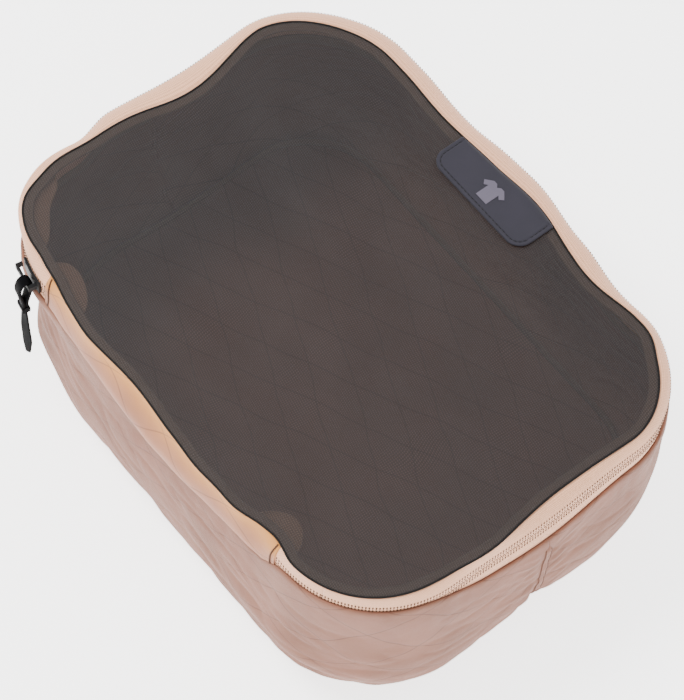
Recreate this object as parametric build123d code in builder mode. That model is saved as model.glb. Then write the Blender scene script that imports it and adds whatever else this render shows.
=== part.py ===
"""A soft packing cube: a fabric tray with a see-through mesh lid that unzips on three sides.

Millimetres. +Z is up, +X runs along the cube's long side and +Y from the hinge side to the label side.
The origin is the centre of the bottom face. The tray's rings are the zip's outline, offset in or out. The
lid's rings are the rim's outline, which sits a little nearer the hinge side.
"""

import os
from math import cos, radians, sin

from build123d import *

# The zip's outline, seen from above: a rounded rectangle
LENGTH = 350.0
WIDTH = 264.0
CORNER = 66.0
STRAIGHT_X = LENGTH / 2 - CORNER
STRAIGHT_Y = WIDTH / 2 - CORNER

# The rim, where the mesh meets the band: a smaller rounded rectangle
RIM_LENGTH = 341.0
RIM_WIDTH = 250.0
RIM_CORNER = 61.5
RIM_Y = -5.5

# Heights
SEAM_Z = 98.5
ZIP_Z = 114.0
LEAN_Z = 119.0
LID_Z = 128.2

# Cloth, zip and seams
CLOTH_T = 1.0
MESH_T = 0.8
COIL_T = 1.6
COIL_H = 2.8
ZIP_GAP = 1.6
BINDING_T = 1.2
BINDING_W = 8.0
END_SEAM_W = 9.0
END_SEAM_T = 0.8
END_SEAM_Z = 12.0

# The gusset bulges between its seams: (height, offset from the zip's outline)
GUSSET_LEVELS = [(CLOTH_T, -10.0), (8.0, -0.5), (26.0, 5.2), (60.0, 5.4), (SEAM_Z, 0.0)]
BOTTOM_OFFSET = -9.0

# Hinge strip, between the two ends of the zip; the lid folds along its top edge
HINGE_LEFT = -106.0
HINGE_RIGHT = 101.0
FOLD_GAP = 0.6

# Label patch on the lid
LABEL_X = 1.0
LABEL_L = 79.0
LABEL_W = 26.0
LABEL_T = 1.2
LABEL_CORNER = 10.0
LABEL_Z = LID_Z + MESH_T
STITCH_INSET = 2.5
STITCH_L = 2.2
STITCH_W = 0.6
STITCH_PITCH = 3.5
RAISED = 0.3
MARK_W = 18.0
MARK_H = 14.0

# Slider, which rides round the left front corner of the zip
SLIDER_ANGLE = -101.0
SLIDER_ARC = 17.0
SLIDER_HALF = 5.0
PLATE_T = 1.5
RUN_CLEAR = 0.4
LIP = 1.0
NECK_ARC = 4.5
NECK_HALF = 0.5
FIXED_END_X = 31.0
STOP_L = 2.5
STOP_D = 1.2
STOP_AWAY = 0.5

# Crown: an arm that rises from the slider's leading end and turns down at its free end
CROWN_BACK = -10.3
CROWN_FRONT = 8.5
CROWN_RISE = 4.8
CROWN_T = 1.6
CROWN_ROOT = 2.4
CROWN_HALF_W = 1.8
CROWN_MOUTH = 0.5

# Puller, which hangs round the crown's arm
LOOP_T = 1.2
LOOP_W = 6.0
LOOP_CIRCLES = [((0, 0), 3.6), ((2.6, -9.0), 5.6), ((2.4, -23.0), 1.7)]
LOOP_ALONG = 2.6
KEEPER_Z = -22.5
KEEPER_H = 5.0
KEEPER_W = 7.6
KEEPER_D = 5.0
TAIL_L = 52.0
TAIL_T = 2.0
PULL_N = 2.4

os.makedirs("parts", exist_ok=True)


def outline(level, offset, lean=0.0):
    """The zip's outline at a height, offset outwards and leaned part or all of the way to the rim's."""
    length, width, corner, middle = [
        zip_size + lean * (rim_size - zip_size)
        for zip_size, rim_size in ((LENGTH, RIM_LENGTH), (WIDTH, RIM_WIDTH), (CORNER, RIM_CORNER), (0, RIM_Y))
    ]
    with BuildSketch(Plane.XY.offset(level)) as ring:
        with Locations((0, middle)):
            RectangleRounded(length + 2 * offset, width + 2 * offset, corner + offset)
    return ring.sketch


def add_band(low, high, outer, inner, lean=0.0):
    """Add an upright band between two offsets of an outline."""
    extrude(outline(low, outer, lean), amount=high - low)
    extrude(outline(low, inner, lean), amount=high - low, mode=Mode.SUBTRACT)


def add_skin(levels, outer, inner):
    """Add a skin that follows (height, offset) levels, between two extra offsets."""
    loft([outline(z, o + outer) for z, o in levels])
    loft([outline(z, o + inner) for z, o in levels], mode=Mode.SUBTRACT)


def add_upper_band(base, top):
    """Add the upper half of the band, which leans in to meet the lid."""
    levels = [(base, 0.0), (LEAN_Z, 0.0), (top, (top - LEAN_Z) / (LID_Z - LEAN_Z))]
    loft([outline(z, 0, lean) for z, lean in levels], ruled=True)
    loft([outline(z, -CLOTH_T, lean) for z, lean in levels], ruled=True, mode=Mode.SUBTRACT)


def cut_box(low, high, mode=Mode.INTERSECT):
    """Keep, cut away or add the box between two corners."""
    size = [b - a for a, b in zip(low, high)]
    middle = [(a + b) / 2 for a, b in zip(low, high)]
    with Locations(tuple(middle)):
        Box(*size, mode=mode)


def cut_front(left, right, mode=Mode.SUBTRACT):
    """Keep, or cut away, a stretch of the hinge side."""
    cut_box((left, -WIDTH, 0), (right, -WIDTH / 4, 2 * LID_Z), mode)


def add_arc(side, angle, arc, radii, heights, mode=Mode.ADD):
    """Add a block that follows a front corner of the zip, from an angle through an arc."""
    centre = (side * STRAIGHT_X, -STRAIGHT_Y, 0)
    a = radians(angle)
    plane = Plane(origin=centre, x_dir=(cos(a), sin(a), 0), z_dir=(sin(a), -cos(a), 0))
    with BuildSketch(plane) as section:
        with Locations(((radii[0] + radii[1]) / 2, (heights[0] + heights[1]) / 2)):
            Rectangle(radii[1] - radii[0], heights[1] - heights[0])
    revolve(section.sketch, axis=Axis(centre, (0, 0, 1)), revolution_arc=arc, mode=mode)


def save(part, name):
    """Label a finished piece and write it as a STEP file."""
    part.label = name
    export_step(part, f"parts/{name}.step")


# Bottom panel
with BuildPart() as bottom_panel:
    extrude(outline(0, BOTTOM_OFFSET), amount=CLOTH_T)
save(bottom_panel.part, "bottom_panel")

# Gusset: two C-shaped wall panels that meet in the middle of each short end
for name, side in (("gusset_back", Keep.TOP), ("gusset_front", Keep.BOTTOM)):
    with BuildPart() as gusset:
        add_skin(GUSSET_LEVELS, 0, -CLOTH_T)
        split(bisect_by=Plane.ZX, keep=side)
    save(gusset.part, name)

# Felled seam strips over the joints of the gusset panels
for name, side in (("end_seam_left", -1), ("end_seam_right", 1)):
    with BuildPart() as end_seam:
        add_skin(GUSSET_LEVELS, END_SEAM_T, 0)
        near, far = sorted((side * LENGTH / 4, side * LENGTH))
        half = END_SEAM_W / 2
        cut_box((near, -half, END_SEAM_Z), (far, half, SEAM_Z - 0.5))
    save(end_seam.part, name)

# Bound seam allowances inside the tray
with BuildPart() as bottom_seam_binding:
    edge = GUSSET_LEVELS[0][1] - CLOTH_T
    add_band(CLOTH_T, CLOTH_T + BINDING_W, edge, edge - BINDING_T)
save(bottom_seam_binding.part, "bottom_seam_binding")

with BuildPart() as zip_seam_binding:
    add_band(SEAM_Z - BINDING_W, SEAM_Z + 1, -CLOTH_T, -CLOTH_T - BINDING_T)
save(zip_seam_binding.part, "zip_seam_binding")

# Lower half of the zip, sewn to the gusset and broken by the hinge strip
EDGE_LOW = ZIP_Z - ZIP_GAP / 2
EDGE_HIGH = ZIP_Z + ZIP_GAP / 2
COIL_IN = -CLOTH_T - COIL_T

with BuildPart() as lower_zip_tape:
    add_band(SEAM_Z, EDGE_LOW, 0, -CLOTH_T)
    cut_front(HINGE_LEFT, HINGE_RIGHT)
save(lower_zip_tape.part, "lower_zip_tape")

with BuildPart() as lower_coil:
    add_band(EDGE_LOW - COIL_H, EDGE_LOW, -CLOTH_T, COIL_IN)
    cut_front(HINGE_LEFT, HINGE_RIGHT)
save(lower_coil.part, "lower_coil")

# Hinge strip, which closes the band between the two ends of the zip
with BuildPart() as hinge_strip:
    add_upper_band(SEAM_Z, LID_Z - FOLD_GAP)
    cut_front(HINGE_LEFT, HINGE_RIGHT, Mode.INTERSECT)
save(hinge_strip.part, "hinge_strip")

# Upper half of the zip: a short length stays with the tray, next to the closed slider
FIXED_X = HINGE_LEFT - FIXED_END_X

with BuildPart() as upper_tape_end:
    add_upper_band(EDGE_HIGH, LID_Z - FOLD_GAP)
    cut_front(FIXED_X, HINGE_LEFT, Mode.INTERSECT)
save(upper_tape_end.part, "upper_tape_end")

with BuildPart() as upper_coil_end:
    add_band(EDGE_HIGH, EDGE_HIGH + COIL_H, -CLOTH_T, COIL_IN)
    cut_front(FIXED_X, HINGE_LEFT, Mode.INTERSECT)
save(upper_coil_end.part, "upper_coil_end")

with BuildPart() as upper_zip_tape:
    add_upper_band(EDGE_HIGH, LID_Z)
    cut_front(FIXED_X - 0.5, HINGE_RIGHT + 0.5)
save(upper_zip_tape.part, "upper_zip_tape")

with BuildPart() as upper_coil:
    add_band(EDGE_HIGH, EDGE_HIGH + COIL_H, -CLOTH_T, COIL_IN)
    cut_front(FIXED_X - 0.5, HINGE_RIGHT + 0.5)
save(upper_coil.part, "upper_coil")

# Stops on the inner face of the lower coil, at the two ends of the zip
STOP_Y = -WIDTH / 2 - COIL_IN
for name, near in (("start_stop", HINGE_LEFT - STOP_AWAY - STOP_L), ("end_stop", HINGE_RIGHT + STOP_AWAY)):
    with BuildPart() as stop:
        low, high = (near, STOP_Y, EDGE_LOW - COIL_H), (near + STOP_L, STOP_Y + STOP_D, EDGE_LOW)
        cut_box(low, high, Mode.ADD)
    save(stop.part, name)

# Lid: a mesh panel with its bound seam allowance underneath
with BuildPart() as mesh_panel:
    extrude(outline(LID_Z, 0, 1), amount=MESH_T)
save(mesh_panel.part, "mesh_panel")

with BuildPart() as lid_binding:
    edge = -CLOTH_T - RUN_CLEAR
    add_band(LID_Z - BINDING_T, LID_Z, edge, edge - BINDING_W, lean=1)
save(lid_binding.part, "lid_binding")

# Label patch, its stitching and a woven shirt emblem
LABEL_Y = RIM_Y + RIM_WIDTH / 2 - 1 - LABEL_W / 2

with BuildPart() as label_patch:
    with BuildSketch(Plane.XY.offset(LABEL_Z)) as patch:
        with Locations((LABEL_X, LABEL_Y)):
            Rectangle(LABEL_L, LABEL_W)
        fillet(patch.vertices().sort_by(Axis.Y)[:2], LABEL_CORNER)
    extrude(amount=LABEL_T)
save(label_patch.part, "label_patch")

with BuildPart() as label_stitching:
    across = int((LABEL_L - 2 * LABEL_CORNER) / STITCH_PITCH)
    along = int((LABEL_W - LABEL_CORNER) / STITCH_PITCH)
    ends_y = LABEL_Y + (LABEL_CORNER - STITCH_INSET) / 2
    with BuildSketch(Plane.XY.offset(LABEL_Z + LABEL_T)):
        with Locations((LABEL_X, LABEL_Y - LABEL_W / 2 + STITCH_INSET)):
            with GridLocations(STITCH_PITCH, 1, across, 1):
                Rectangle(STITCH_L, STITCH_W)
        with Locations((LABEL_X, ends_y)):
            with GridLocations(LABEL_L - 2 * STITCH_INSET, STITCH_PITCH, 2, along):
                Rectangle(STITCH_W, STITCH_L)
    extrude(amount=RAISED)
save(label_stitching.part, "label_stitching")

with BuildPart() as label_mark:
    w, h = MARK_W / 2, MARK_H / 2
    half = [(0, 0.75 * h), (0.2 * w, h), (0.5 * w, h), (w, 0.45 * h), (0.75 * w, 0.1 * h)]
    half += [(0.5 * w, 0.35 * h), (0.5 * w, -h)]
    points = half + [(-x, y) for x, y in reversed(half[1:])]
    with BuildSketch(Plane.XY.offset(LABEL_Z + LABEL_T)) as shirt:
        with Locations((LABEL_X, LABEL_Y)):
            Polygon(*points, align=Align.CENTER)
    extrude(amount=RAISED)
save(label_mark.part, "label_mark")

# Slider body: two lipped plates joined by a neck that runs between the tapes
FACE = CORNER + RUN_CLEAR
BACK = CORNER + COIL_IN - RUN_CLEAR
START = SLIDER_ANGLE - SLIDER_ARC / 2

with BuildPart() as slider_body:
    low, high = ZIP_Z - SLIDER_HALF, ZIP_Z + SLIDER_HALF
    add_arc(-1, START, SLIDER_ARC, (FACE, FACE + PLATE_T), (low, high))
    add_arc(-1, START, SLIDER_ARC, (BACK - PLATE_T, BACK), (low, high))
    lip_top = CORNER - CLOTH_T - RUN_CLEAR
    add_arc(-1, START, SLIDER_ARC, (BACK, lip_top), (low, low + LIP))
    add_arc(-1, START, SLIDER_ARC, (BACK, lip_top), (high - LIP, high))
    neck = (ZIP_Z - NECK_HALF, ZIP_Z + NECK_HALF)
    add_arc(-1, START + SLIDER_ARC - NECK_ARC, NECK_ARC, (BACK, FACE), neck)
save(slider_body.part, "slider_body")

# The slider's own directions, out of the outer plate's face
A = radians(SLIDER_ANGLE)
OUT = Vector(cos(A), sin(A), 0)
ALONG = Vector(-sin(A), cos(A), 0)
CENTRE = Vector(-STRAIGHT_X, -STRAIGHT_Y, ZIP_Z)
PLATE_FACE = CENTRE + OUT * (FACE + PLATE_T)
ARM = CROWN_RISE - CROWN_T / 2

with BuildPart() as slider_crown:
    with BuildSketch(Plane(origin=PLATE_FACE, x_dir=ALONG, z_dir=(0, 0, -1))):
        with BuildLine():
            bend = [(CROWN_FRONT, -1), (CROWN_FRONT, CROWN_RISE), (CROWN_BACK, CROWN_RISE)]
            bend += [(CROWN_BACK, CROWN_MOUTH), (CROWN_BACK + CROWN_T, CROWN_MOUTH)]
            under = CROWN_RISE - CROWN_T
            bend += [(CROWN_BACK + CROWN_T, under), (CROWN_FRONT - CROWN_ROOT, under)]
            bend += [(CROWN_FRONT - CROWN_ROOT, -1)]
            Polyline(*bend, close=True)
        make_face()
    extrude(amount=CROWN_HALF_W, both=True)
    fillet(slider_crown.edges().filter_by(Axis.Z).group_by(SortBy.DISTANCE)[-1], 0.6)
    with Locations(CENTRE):
        Cylinder(FACE + PLATE_T, 6 * CROWN_HALF_W, mode=Mode.SUBTRACT)
save(slider_crown.part, "slider_crown")

# Puller, drawn across the crown's arm
HANG = Plane(origin=PLATE_FACE + OUT * ARM + ALONG * LOOP_ALONG, x_dir=OUT, z_dir=-ALONG)


def loop_shape(shrink):
    """The loop's teardrop, shrunk by a wall thickness."""
    with BuildSketch() as drop:
        for place, r in LOOP_CIRCLES:
            with Locations(place):
                Circle(r - shrink)
        make_hull()
    return drop.sketch


with BuildPart() as pull_loop:
    with BuildSketch(HANG):
        add(loop_shape(0))
        add(loop_shape(LOOP_T), mode=Mode.SUBTRACT)
    extrude(amount=LOOP_W / 2, both=True)
save(pull_loop.part, "pull_loop")

with BuildPart() as pull_keeper:
    with BuildSketch(HANG) as ring:
        with Locations((PULL_N, KEEPER_Z - KEEPER_H / 2)):
            RectangleRounded(KEEPER_D, KEEPER_H, 1)
    extrude(amount=KEEPER_W / 2, both=True)
    with BuildSketch(HANG):
        add(loop_shape(0))
    extrude(amount=LOOP_W / 2, both=True, mode=Mode.SUBTRACT)
save(pull_keeper.part, "pull_keeper")

with BuildPart() as pull_tail:
    with BuildSketch(HANG):
        with Locations((PULL_N, KEEPER_Z - KEEPER_H - TAIL_L / 2)):
            Rectangle(TAIL_T, TAIL_L)
    extrude(amount=LOOP_W / 2, both=True)
    fillet(pull_tail.edges().filter_by(lambda e: abs(e.length - TAIL_T) < 0.01).sort_by(Axis.Z)[:2], 1)
save(pull_tail.part, "pull_tail")
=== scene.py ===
"""Packing cube: cloth tray, zip, hinge strip, see-through mesh lid, label and slider.

Shapes are worked out in millimetres, and make_mesh turns them into metres."""

import math

import bpy
import numpy as np
from mathutils import Matrix, Vector


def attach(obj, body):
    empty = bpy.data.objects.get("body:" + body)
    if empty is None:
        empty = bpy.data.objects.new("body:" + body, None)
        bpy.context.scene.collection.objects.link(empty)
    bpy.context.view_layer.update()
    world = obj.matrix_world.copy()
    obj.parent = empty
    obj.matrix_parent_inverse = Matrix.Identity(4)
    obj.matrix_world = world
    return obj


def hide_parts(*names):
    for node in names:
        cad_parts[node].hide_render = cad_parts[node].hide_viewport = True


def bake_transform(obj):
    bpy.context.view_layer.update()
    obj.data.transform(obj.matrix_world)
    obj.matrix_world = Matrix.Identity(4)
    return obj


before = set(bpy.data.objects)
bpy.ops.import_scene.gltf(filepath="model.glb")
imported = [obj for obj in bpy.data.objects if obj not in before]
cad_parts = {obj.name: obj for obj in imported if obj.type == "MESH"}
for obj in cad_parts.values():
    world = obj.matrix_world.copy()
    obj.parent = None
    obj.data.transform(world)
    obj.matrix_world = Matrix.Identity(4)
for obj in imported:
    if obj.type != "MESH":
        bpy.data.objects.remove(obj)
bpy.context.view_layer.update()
MM = 0.001
UP = np.array([0.0, 0.0, 1.0])
THIN, DOUBLE = 0.7, 0.9  # thickness of one layer of cloth, and of a seam or binding

# ---------------------------------------------------------------- the zip's outline, in millimetres
LENGTH, WIDTH, CORNER = 350.0, 264.0, 66.0
HX, HY = LENGTH / 2 - CORNER, WIDTH / 2 - CORNER
QUARTER = math.pi / 2 * CORNER
LEGS = [HX, QUARTER, 2 * HY, QUARTER, 2 * HX, QUARTER, 2 * HY, QUARTER, HX]
PERIMETER = sum(LEGS)
S_RIGHT = HX + QUARTER + HY
S_LEFT = PERIMETER - S_RIGHT
ZIP_Z, RIM_Z = 114.0, 128.2
RIM_HINGE, RIM_END, RIM_LABEL = 1.5, 4.5, 12.5  # how far in the rim is sewn, on each kind of side
HINGE_LEFT, HINGE_RIGHT = -106.0, 101.0  # ends of the hinge strip, in x

# Soft shapes along the outline, each as (how far, centre, half width).
RIM_PULLS = [  # the slack rim, inwards
    (2.6, 90, 24), (-0.8, 160, 50), (-1.0, 238, 30), (-2.6, 246, 48), (-1.1, 290, 42), (2.8, 292, 60),
    (1.8, 398, 60), (-1.4, 425, 20), (2.1, 470, 40), (3.4, 484, 42), (-2.0, 534, 34), (-1.6, 548, 45),
    (1.8, 614, 38), (3.0, 718, 60), (10.5, 824, 62), (3.2, 890, 42), (-3.0, 951, 24), (4.6, 994, 28)]
STRIP_PULLS = [(2.6, -24, 44), (-1.2, 36, 22)]  # the rim along the hinge strip, inwards, with centres in x
RIM_DIPS = [(1.4, 824, 62), (0.5, 292, 60)]  # the rim, downwards
ZIP_BOWS = [  # the zip, outwards
    (2.0, S_RIGHT, 64), (-3.0, 425, 75), (-3.8, 466, 40), (5.5, 550, 48), (1.2, 580, 26), (-1.8, 614, 34),
    (-3.0, 816, 62)]
TUCKS = [  # the foot of the wall, inwards, mostly at the two empty corners
    (2.4, 122, 80), (4.5, 372, 50), (2.0, 408, 50), (3.0, S_LEFT, 90), (5.0, 914, 34), (11.0, 953, 40),
    (11.0, 990, 56), (1.6, 1044, 46)]


def outline(s):
    """Points and outward normals of the zip's outline at arc lengths from the middle of the hinge side."""
    s = np.mod(np.asarray(s, float), PERIMETER)
    x, y, a = np.zeros_like(s), np.zeros_like(s), np.zeros_like(s)
    px, py, heading, start = 0.0, -WIDTH / 2, 0.0, 0.0
    for i, leg in enumerate(LEGS):
        m = (s >= start - 1e-9) & (s <= start + leg + 1e-9)
        d = s[m] - start
        if i % 2 == 0:
            x[m], y[m] = px + d * math.cos(heading), py + d * math.sin(heading)
            a[m] = heading - math.pi / 2
            px, py = px + leg * math.cos(heading), py + leg * math.sin(heading)
        else:
            cx, cy = px - CORNER * math.sin(heading), py + CORNER * math.cos(heading)
            t = heading - math.pi / 2 + d / CORNER
            x[m], y[m], a[m] = cx + CORNER * np.cos(t), cy + CORNER * np.sin(t), t
            heading += math.pi / 2
            px = cx + CORNER * math.cos(heading - math.pi / 2)
            py = cy + CORNER * math.sin(heading - math.pi / 2)
        start += leg
    return x, y, np.cos(a), np.sin(a)


def bump(v, centre, half):
    """A smooth bump of height 1 that falls to 0 at half either side of its centre."""
    t = np.clip((np.asarray(v, float) - centre) / half, -1, 1)
    return np.cos(t * math.pi / 2) ** 2


def bumps(v, shapes):
    """The sum of several bumps, each given as its height, centre and half width."""
    return sum(height * bump(v, centre, half) for height, centre, half in shapes)


def ramp(v, low, high):
    """A smooth step from 0 to 1."""
    t = np.clip((np.asarray(v, float) - low) / (high - low), 0, 1)
    return t * t * (3 - 2 * t)


def rim_off(s):
    """Offset of the soft rim from the zip's outline: its sewn place, then the pulls of the slack cloth."""
    s = np.mod(s, PERIMETER)
    _, _, _, ny = outline(s)
    label_side, hinge_side = np.maximum(ny, 0) ** 2, np.maximum(-ny, 0) ** 2
    sewn = RIM_END + (RIM_LABEL - RIM_END) * label_side - (RIM_END - RIM_HINGE) * hinge_side
    # straight along the hinge strip, with a small shoulder at each of its ends
    hinge = np.minimum(s, PERIMETER - s)
    pull = bumps(s, RIM_PULLS) - 3.8 * (1 - ramp(hinge, 62, 98)) + 1.4 * bump(hinge, 102, 16)
    x = s - PERIMETER * (s > PERIMETER / 2)
    return -sewn - pull - bumps(x, STRIP_PULLS)


def rim_z(s):
    """Height of the rim, which dips a little where it is pulled in."""
    return RIM_Z - bumps(np.mod(s, PERIMETER), RIM_DIPS)


def zip_out(s):
    """How far the zip stands out from its outline."""
    s = np.mod(s, PERIMETER)
    far_side = (2.2 * ramp(s, 560, 620) + 4.8 * ramp(s, 700, 770)) * (1 - ramp(s, 868, 900))
    return bumps(s, ZIP_BOWS) + far_side


def lean(s):
    """How far the lower tape leans out towards its foot on the open end."""
    return 2.3 * bump(np.mod(s, PERIMETER), 280, 88)


def noise2(x, y, seed=0):
    """Smooth noise from about -1 to 1."""
    xi, yi = np.floor(x), np.floor(y)
    xf, yf = x - xi, y - yi
    u, v = xf ** 3 * (xf * (xf * 6 - 15) + 10), yf ** 3 * (yf * (yf * 6 - 15) + 10)

    def corner(i, j):
        h = np.sin((xi + i) * 127.1 + (yi + j) * 311.7 + seed * 74.7) * 43758.5453
        t = 2 * math.pi * (h - np.floor(h))
        return np.cos(t) * (xf - i) + np.sin(t) * (yf - j)

    low = corner(0, 0) * (1 - u) + corner(1, 0) * u
    high = corner(0, 1) * (1 - u) + corner(1, 1) * u
    return 1.5 * (low * (1 - v) + high * v)


# ---------------------------------------------------------------- mesh helpers
def make_mesh(name, verts, faces, uvs=None):
    """A smooth-shaded mesh object from points in millimetres."""
    mesh = bpy.data.meshes.new(name)
    mesh.from_pydata((np.asarray(verts, float) * MM).tolist(), [], faces)
    if uvs is not None:
        layer = mesh.uv_layers.new(name="cloth")
        index = np.zeros(len(mesh.loops), int)
        mesh.loops.foreach_get("vertex_index", index)
        layer.data.foreach_set("uv", np.asarray(uvs, float)[index].ravel())
    mesh.validate()
    mesh.polygons.foreach_set("use_smooth", [True] * len(mesh.polygons))
    obj = bpy.data.objects.new(name, mesh)
    bpy.context.scene.collection.objects.link(obj)
    return obj


def grid_faces(nu, nv, wrap_u=False, wrap_v=False):
    """Quads of a grid stored row by row, nv points to a row."""
    i = np.arange(nu if wrap_u else nu - 1)
    j = np.arange(nv if wrap_v else nv - 1)
    i, j = [g.ravel() for g in np.meshgrid(i, j, indexing="ij")]
    i2, j2 = (i + 1) % nu, (j + 1) % nv
    return np.stack([i * nv + j, i2 * nv + j, i2 * nv + j2, i * nv + j2], 1).tolist()


def end_caps(rings, sides):
    """The first and last face of a tube of rings."""
    return [list(range(sides))[::-1], [(rings - 1) * sides + i for i in range(sides)]]


def distance_along(points):
    """Distance of each point from the first one, along the line through them."""
    return np.concatenate([[0], np.cumsum(np.linalg.norm(np.diff(points, axis=0), axis=1))])


def tangents(points, closed):
    """Directions from row to row of points, round the end where they are closed."""
    if closed:
        return np.roll(points, -1, 0) - np.roll(points, 1, 0)
    return np.gradient(points, axis=0)


def between(points, row):
    """Points at fractions of the way between the rows of a list."""
    return np.stack([np.interp(row, range(len(points)), axis) for axis in points.T], 1)


def smooth_curve(points, n):
    """n evenly spaced points on a smooth curve through the given ones."""
    p = np.asarray(points, float)
    t = distance_along(p)
    m = np.gradient(p, t, axis=0)
    q = np.linspace(0, t[-1], n)
    k = np.clip(np.searchsorted(t, q, side="right") - 1, 0, len(t) - 2)
    h = (t[k + 1] - t[k])[:, None]
    f = ((q - t[k])[:, None]) / h
    a, b = 2 * f ** 3 - 3 * f ** 2 + 1, f ** 3 - 2 * f ** 2 + f
    return a * p[k] + b * h * m[k] + (1 - a) * p[k + 1] + (f ** 3 - f ** 2) * h * m[k + 1]


def place(s, off, z):
    """Points in the part's frame from arc length, offset from the zip's outline and height."""
    x, y, nx, ny = outline(s)
    return np.stack([x + nx * off, y + ny * off, z], -1)


def outward(s):
    """Outward directions of the zip's outline."""
    _, _, nx, ny = outline(s)
    return np.stack([nx, ny, 0 * nx], -1)


def cloth(name, grid, s, length, thick, closed=False):
    """A cloth sheet from a grid of points, rows along the outline and columns up it, thickened inwards."""
    nu, nv = grid.shape[:2]
    normal = np.cross(tangents(grid, closed), np.gradient(grid, axis=1))
    normal /= np.linalg.norm(normal, axis=2)[..., None] + 1e-12
    points = np.concatenate([grid, (grid - normal * thick)[:, ::-1]], 1)
    v = np.concatenate([length, length[::-1]])
    uvs = np.stack(np.broadcast_arrays(np.asarray(s, float)[:, None], v[None]), -1)
    faces = grid_faces(nu, 2 * nv, closed, True)
    if not closed:
        last = (nu - 1) * 2 * nv
        for j in range(nv - 1):
            k = 2 * nv - 1 - j
            faces.append([j, j + 1, k - 1, k])
            faces.append([last + k, last + k - 1, last + j + 1, last + j])
    return make_mesh(name, points.reshape(-1, 3), faces, uvs.reshape(-1, 2))


def tube(name, path, radius, sides=6, closed=False):
    """A round or flattened tube along points in millimetres."""
    p = np.asarray(path, float)
    t = tangents(p, closed)
    t /= np.linalg.norm(t, axis=1)[:, None] + 1e-12
    up = np.tile(UP, (len(p), 1))
    up[np.abs(t[:, 2]) > 0.9] = [1.0, 0.0, 0.0]
    a = np.cross(t, up)
    a /= np.linalg.norm(a, axis=1)[:, None]
    b = np.cross(a, t)
    r = np.asarray(radius if hasattr(radius, "__len__") else (radius, radius), float)
    ang = np.linspace(0, 2 * math.pi, sides, endpoint=False)
    cos, sin = np.cos(ang)[None, :, None], np.sin(ang)[None, :, None]
    ring = p[:, None] + r[0] * cos * a[:, None] + r[1] * sin * b[:, None]
    faces = grid_faces(len(p), sides, closed, True)
    if not closed:
        faces += end_caps(len(p), sides)
    return make_mesh(name, ring.reshape(-1, 3), faces)


THREAD_EDGE = -0.05  # the edges of a thread mark lie just inside the cloth


def stitches(name, centres, along, out, length, width, height):
    """Thread dashes: low domes with rounded ends, one at each centre."""
    c, a, n = [np.asarray(v, float).reshape(-1, 3) for v in (centres, along, out)]
    a = a / np.linalg.norm(a, axis=1)[:, None]
    b = np.cross(n, a)
    b /= np.linalg.norm(b, axis=1)[:, None]
    dome = [(-0.5, 0.35, 0.0), (-0.4, 0.8, 0.7), (0.0, 1.0, 1.0), (0.4, 0.8, 0.7), (0.5, 0.35, 0.0)]
    ring = []
    for t, w, h in dome:
        for q in (-0.5, 0.0, 0.5):
            lift = h * height if q == 0.0 else THREAD_EDGE
            ring.append(c + a * t * length + b * q * w * width + n * lift)
    points = np.stack(ring, 1)
    # one dome's top, then its underside and its two ends
    one = [f[::-1] for f in grid_faces(len(dome), 3)]
    one += [[0, 3, 6, 9, 12, 14, 11, 8, 5, 2], [2, 1, 0], [12, 13, 14]]
    faces = [[v + len(ring) * k for v in f] for k in range(len(c)) for f in one]
    return make_mesh(name, points.reshape(-1, 3), faces)


def span(start, end, step):
    """Evenly spaced values from start to end."""
    return np.linspace(start, end, max(2, int(abs(end - start) / step) + 1))


# ---------------------------------------------------------------- profiles of (offset, height)
WALL = smooth_curve(
    [(-13.0, 1.0), (-8.5, 2.2), (-3.2, 5.6), (1.4, 11.5), (5.0, 20.0), (7.4, 31.0), (8.0, 44.0), (7.2, 60.0),
     (5.4, 76.0), (3.6, 88.0), (2.4, 95.0), (1.7, 98.8), (0.8, 100.4), (-0.3, 100.0), (-0.7, 98.4)], 92)
WALL_UP = distance_along(WALL)
WALL_LENGTH = WALL_UP[-1]
STRIP = smooth_curve(
    [(-1.0, 96.5), (0.4, 100.4), (2.0, 102.4), (3.2, 106.0), (3.6, 111.0), (3.2, 116.0), (2.2, 120.6),
     (1.0, 124.2), (0.3, 126.6), (0.0, 128.0)], 34)
STRIP_UP = distance_along(STRIP)
STRIP_LENGTH = STRIP_UP[-1]


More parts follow.
